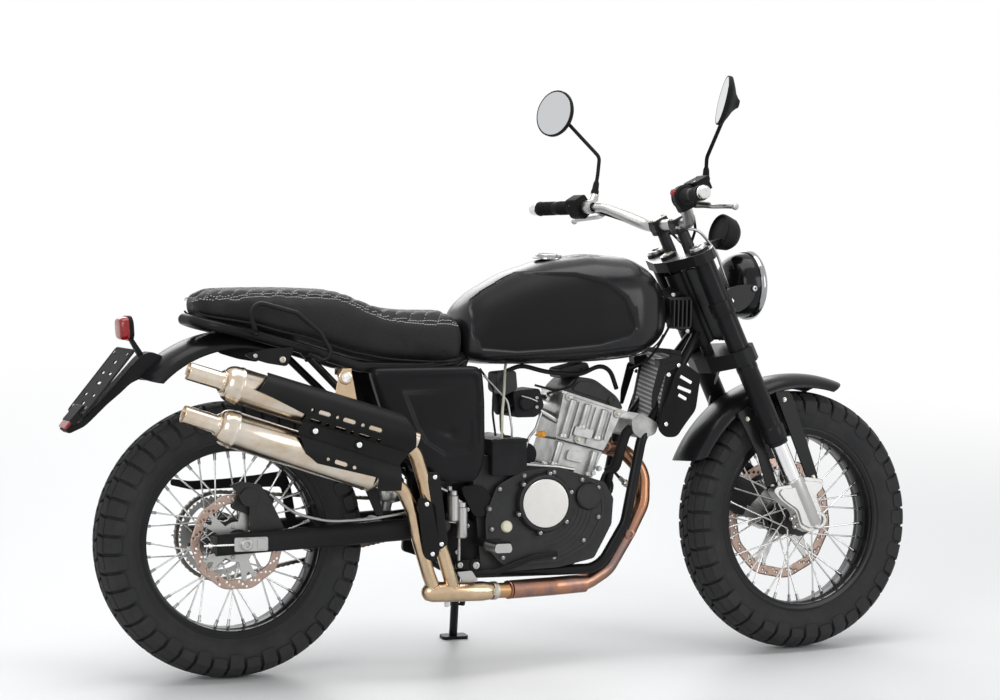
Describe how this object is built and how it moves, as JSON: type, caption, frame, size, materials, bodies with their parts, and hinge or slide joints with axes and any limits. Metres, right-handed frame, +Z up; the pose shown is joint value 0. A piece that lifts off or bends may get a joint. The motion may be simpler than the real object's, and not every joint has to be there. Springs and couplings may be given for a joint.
{
  "type": "scrambler-styled cafe racer motorcycle",
  "caption": "Light single-cylinder motorcycle with high twin silencers and block tyres; it steers, its wheels turn and its side stand folds.",
  "frame": {"origin": "on the floor, at the bottom centre of the bounding box, parked on the side stand", "axes": "+X towards the front wheel, +Y to the rider's left, the side it leans to, +Z up"},
  "size_m": [2.1788, 0.8539, 1.4228],
  "materials": {
    "black_gloss": "gloss",
    "black_plastic": "matt",
    "black_rubber": "matt",
    "black_steel": "semi-gloss",
    "bright_chrome": "polished",
    "brushed_can": "brushed",
    "cast_silver": "cast",
    "chain_steel": "oiled",
    "disc_steel": "brushed",
    "heated_steel": "heat tinted",
    "red_lens": "gloss",
    "seat_leather": "satin",
    "silver_alloy": "satin",
    "tank_paint": "satin",
    "tyre_rubber": "matt"
  },
  "bodies": {
    "chassis": {"main_frame": "black_steel", "rear_frame": "black_steel", "swingarm": "black_gloss", "rear_shock": "black_steel", "crankcase": "cast_silver", "clutch_cover": "cast_silver", "cylinder": "cast_silver", "cylinder_head": "black_steel", "intake": "black_plastic", "exhaust_pipes": "heated_steel", "silencers": "brushed_can", "heat_shields": "black_steel", "fuel_tank": "tank_paint", "fuel_cap": "bright_chrome", "seat": "seat_leather", "side_covers": "tank_paint", "rear_fender": "tank_paint", "plate_holder": "black_plastic", "tail_lamp": "red_lens", "grab_hoops": "black_steel", "radiator": "black_plastic", "foot_controls": "silver_alloy", "drive_chain": "chain_steel", "rear_calliper": "silver_alloy"},
    "fork": {"fork_tubes": "black_steel", "fork_sliders": "bright_chrome", "triple_clamps": "black_steel", "handlebar": "silver_alloy", "grips": "black_rubber", "bar_controls": "black_plastic", "mirrors": "black_steel", "gauge": "black_plastic", "headlamp": "black_steel", "front_fender": "tank_paint", "front_calliper": "silver_alloy"},
    "front_wheel": {"front_tyre": "tyre_rubber", "front_rim": "black_gloss", "front_hub": "bright_chrome", "front_disc": "disc_steel"},
    "rear_wheel": {"rear_tyre": "tyre_rubber", "rear_rim": "black_gloss", "rear_hub": "bright_chrome", "rear_disc": "disc_steel", "rear_sprocket": "disc_steel"},
    "stand": {"side_stand": "black_steel"}
  },
  "joints": [
    {"name": "steering", "type": "hinge", "parent": "chassis", "child": "fork", "pos_m": [0.48989, -0.03631, 0.84035], "axis": [-0.4147, 0.103, 0.9041], "range_deg": [-45, 31]},
    {"name": "front_wheel_spin", "type": "hinge", "parent": "fork", "child": "front_wheel", "pos_m": [0.77484, -0.09141, 0.31369], "axis": [-0.1109, 0.9804, -0.1626], "continuous": true},
    {"name": "rear_wheel_spin", "type": "hinge", "parent": "chassis", "child": "rear_wheel", "pos_m": [-0.67989, -0.09579, 0.31834], "axis": [0, 0.9936, -0.1132], "continuous": true},
    {"name": "side_stand_fold", "type": "hinge", "parent": "chassis", "child": "stand", "pos_m": [-0.07189, 0.00553, 0.21823], "axis": [0.1005, 0.8733, 0.4767], "range_deg": [0, 98]}
  ]
}
